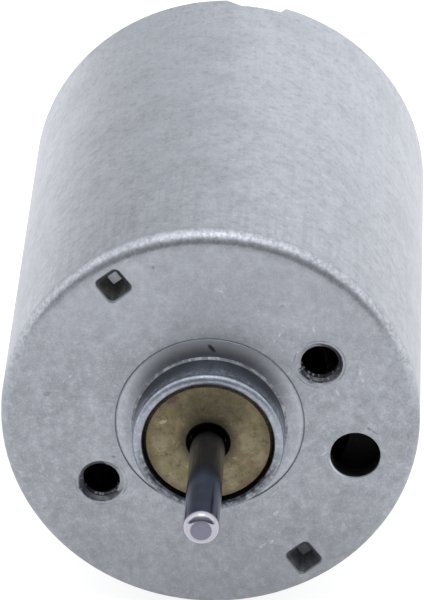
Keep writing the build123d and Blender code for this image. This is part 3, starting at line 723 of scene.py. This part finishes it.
def keep_cad_normals(mesh, source):
    """Give each corner that the cutting left alone the CAD surface's own normal."""
    tree = KDTree(len(source.vertices))
    for vertex in source.vertices:
        tree.insert(vertex.co, vertex.index)
    tree.balance()
    corners = {}
    for polygon in source.polygons:
        for loop in polygon.loop_indices:
            normal = source.corner_normals[loop].vector.copy()
            entry = (polygon.normal.copy(), normal)
            corners.setdefault(source.loops[loop].vertex_index, []).append(entry)
    normals = [corner.vector.copy() for corner in mesh.corner_normals]
    for polygon in mesh.polygons:
        on_face = all(abs(mesh.vertices[index].co.y) < SAME_PLACE for index in polygon.vertices)
        for loop in polygon.loop_indices:
            if on_face:
                normals[loop] = FRONT
                continue
            place = mesh.vertices[mesh.loops[loop].vertex_index].co
            closest = SAME_FACING
            for _, index, _ in tree.find_range(place, SAME_PLACE):
                for facing, normal in corners.get(index, ()):
                    if facing.dot(polygon.normal) > closest:
                        closest = facing.dot(polygon.normal)
                        normals[loop] = normal
    mesh.normals_split_custom_set(normals)


def make_can():
    """The can with real helical threads in its two tapped holes."""
    source = frame["nodes"]["motor_can"]
    can = bpy.data.objects.new("threaded_can", source.data.copy())
    bpy.context.scene.collection.objects.link(can)
    shape = bmesh.new()
    shape.from_mesh(can.data)
    bmesh.ops.remove_doubles(shape, verts=shape.verts, dist=MERGE_DISTANCE)
    shape.to_mesh(can.data)
    shape.free()
    for number, ((x, z), start) in enumerate(zip(SCREW_HOLES, THREAD_STARTS), start=1):
        cutter = thread_cutter(f"thread_cutter_{number}", x, z, start)
        cut = can.modifiers.new("thread", "BOOLEAN")
        cut.operation = "DIFFERENCE"
        cut.solver = "EXACT"
        cut.object = cutter
        apply_modifiers(can)
        bpy.data.objects.remove(cutter)
    can.data.polygons.foreach_set("use_smooth", [True] * len(can.data.polygons))
    can.data.set_sharp_from_angle(angle=SHARP_ANGLE)
    weights = can.modifiers.new("weights", "WEIGHTED_NORMAL")
    weights.keep_sharp = True
    weights.weight = 100
    apply_modifiers(can)
    keep_cad_normals(can.data, source.data)
    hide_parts("motor_can")
    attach(can, "stator")


def add_floor():
    """A large plain floor under the can's side."""
    signs = ((-1, -1), (1, -1), (1, 1), (-1, 1))
    corners = [(x * FLOOR_HALF, y * FLOOR_HALF, FLOOR_Z) for x, y in signs]
    mesh = bpy.data.meshes.new("floor")
    mesh.from_pydata(corners, [], [(0, 1, 2, 3)])
    floor = bpy.data.objects.new("floor", mesh)
    bpy.context.scene.collection.objects.link(floor)
    shader = Shader("floor_white")
    shader.color = grey(FLOOR_TONE)
    shader.finish(0.9, 0.0, Emission_Color=(1, 1, 1, 1), Emission_Strength=FLOOR_GLOW)
    mesh.materials.append(shader.material)


def add_soft_box():
    """A square soft box that the camera doesn't see, aimed at the face's centre."""
    light = bpy.data.lights.new("top_box", "AREA")
    light.shape = "RECTANGLE"
    light.size = light.size_y = SOFT_BOX_WIDTH
    light.energy = SOFT_BOX_POWER
    lamp = bpy.data.objects.new("top_box", light)
    lamp.location = SOFT_BOX_PLACE
    lamp.rotation_euler = (-Vector(SOFT_BOX_PLACE)).to_track_quat("-Z", "Y").to_euler()
    lamp.visible_camera = False
    bpy.context.scene.collection.objects.link(lamp)


def add_world():
    """White to the camera. For everything else a soft dome, bright overhead and dim low in front.

    The dome's parts are told apart by the direction's x, y and z, each from -1 to 1.
    """
    world = bpy.data.worlds.new("studio")
    bpy.context.scene.world = world
    world.use_nodes = True
    sky = Tree(world.node_tree)
    direction = sky.node("ShaderNodeTexCoord").outputs["Generated"]
    axes = sky.node("ShaderNodeSeparateXYZ", {"Vector": direction}).outputs
    x, y, z = axes["X"], axes["Y"], axes["Z"]
    around = sky.band(z, 0.55, 0.92, DOME_SIDE, DOME_TOP)
    around = sky.times(around, sky.band(x, -0.1, 0.5, 1.0, DOME_RIGHT))
    low = sky.band(z, 0.26, 0.55, DOME_FRONT_LOW, DOME_FRONT_MIDDLE)
    front = sky.mix_value(sky.band(z, 0.66, 0.96), low, DOME_TOP)
    level = sky.mix_value(sky.below(y, -0.55, -0.08), around, front)
    shade = sky.node("ShaderNodeVectorMath", {0: direction, 1: DOME_SHADE_AT}, operation="DOT_PRODUCT")
    shade = sky.band(shade.outputs["Value"], 0.80, 0.99, 1.0, 1.0 - DOME_SHADE)
    strip = sky.times(sky.between(y, -0.48, -0.32, 0.04, 0.26), sky.band(z, 0.22, 0.42, 0.0, DOME_STRIP))
    level = sky.maths("ADD", sky.times(level, shade), strip)
    seen = sky.node("ShaderNodeLightPath").outputs["Is Camera Ray"]
    background = sky.nodes["Background"]
    sky.connect(sky.mix(seen, DOME_TINT, (1, 1, 1, 1)), background.inputs["Color"])
    sky.connect(sky.mix_value(seen, level, 1.0), background.inputs["Strength"])


def add_camera():
    """A long lens above the output end."""
    azimuth, elevation = math.radians(CAMERA_AZIMUTH), math.radians(CAMERA_ELEVATION)
    flat = math.cos(elevation)
    back = Vector((math.sin(azimuth) * flat, -math.cos(azimuth) * flat, math.sin(elevation)))
    right = Vector((0, 0, 1)).cross(back).normalized()
    up = back.cross(right)
    data = bpy.data.cameras.new("camera")
    data.lens = CAMERA_LENS
    camera = bpy.data.objects.new("camera", data)
    turn = Matrix((right, up, back)).transposed().to_4x4()
    place = right * CAMERA_ASIDE + up * CAMERA_RAISED + back * CAMERA_DISTANCE
    camera.matrix_world = Matrix.Translation(place) @ turn
    bpy.context.scene.collection.objects.link(camera)
    bpy.context.scene.camera = camera


make_can()
add_floor()
add_world()
add_soft_box()
add_camera()

bpy.context.scene.view_settings.view_transform = "Standard"
